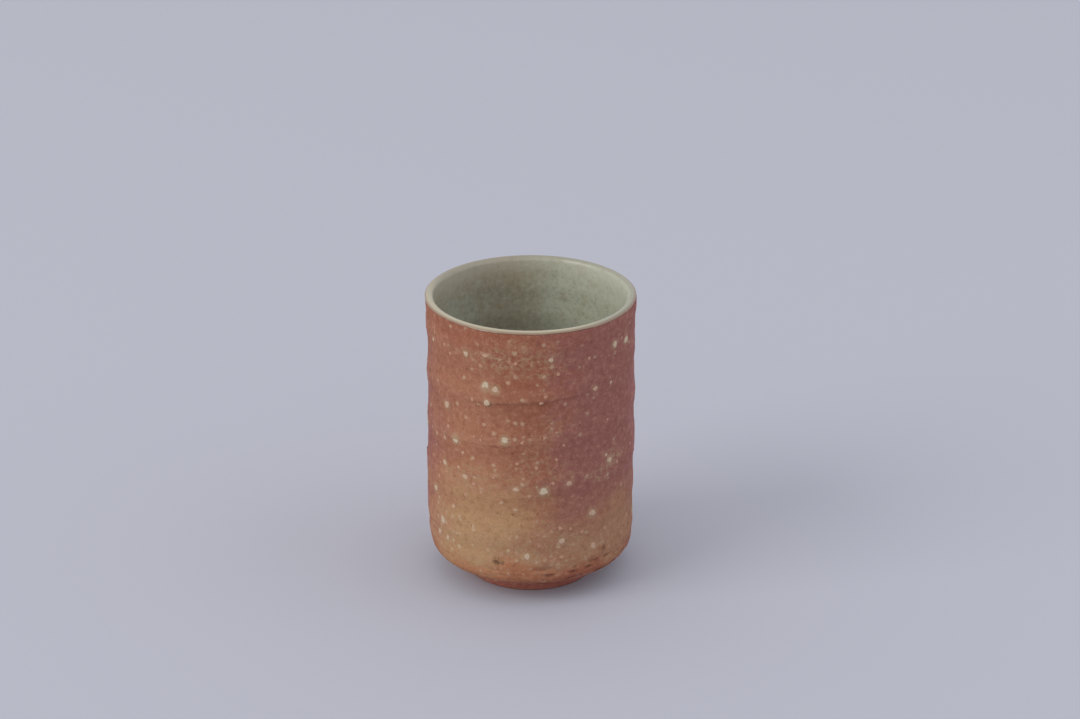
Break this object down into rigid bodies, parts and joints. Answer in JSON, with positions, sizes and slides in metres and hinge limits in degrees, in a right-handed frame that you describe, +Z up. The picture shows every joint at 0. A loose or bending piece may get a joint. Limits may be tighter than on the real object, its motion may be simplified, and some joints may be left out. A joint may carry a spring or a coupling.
{
  "type": "tea cup",
  "caption": "Tall handleless tea cup of wheel-thrown stoneware: near-straight ringed clay wall with feldspar stones, bevelled base on a low foot ring, glazed inside and over the rounded lip.",
  "frame": {"origin": "centre of the foot ring's resting face on the table", "axes": "+Z up along the cup's axis to the lip, -Y to the side that faces the picture's camera, +X to that side's right"},
  "size_m": [0.0692, 0.0693, 0.098],
  "materials": {
    "bare_clay": "coarse unglazed red-brown stoneware, matte, with orange, ochre and purple-brown flashing from the kiln",
    "foot_clay": "turned unglazed stoneware, matte, darker red-brown than the wall",
    "liner_glaze": "grey-green glaze, semi-gloss, with fine dark specks",
    "lip_glaze": "thin cream glaze on the lip, satin, breaking to tan at its edge",
    "feldspar": "half-melted cream feldspar stones, satin",
    "grit": "fine feldspar grit under a skin of clay, matte",
    "iron": "dark melted iron specks, satin"
  },
  "bodies": {
    "root": {"thrown_body": "bare_clay", "foot_ring": "foot_clay", "liner_glaze": "liner_glaze", "lip_glaze": "lip_glaze", "feldspar_stones": "feldspar", "feldspar_grit": "grit", "iron_specks": "iron"}
  },
  "joints": []
}
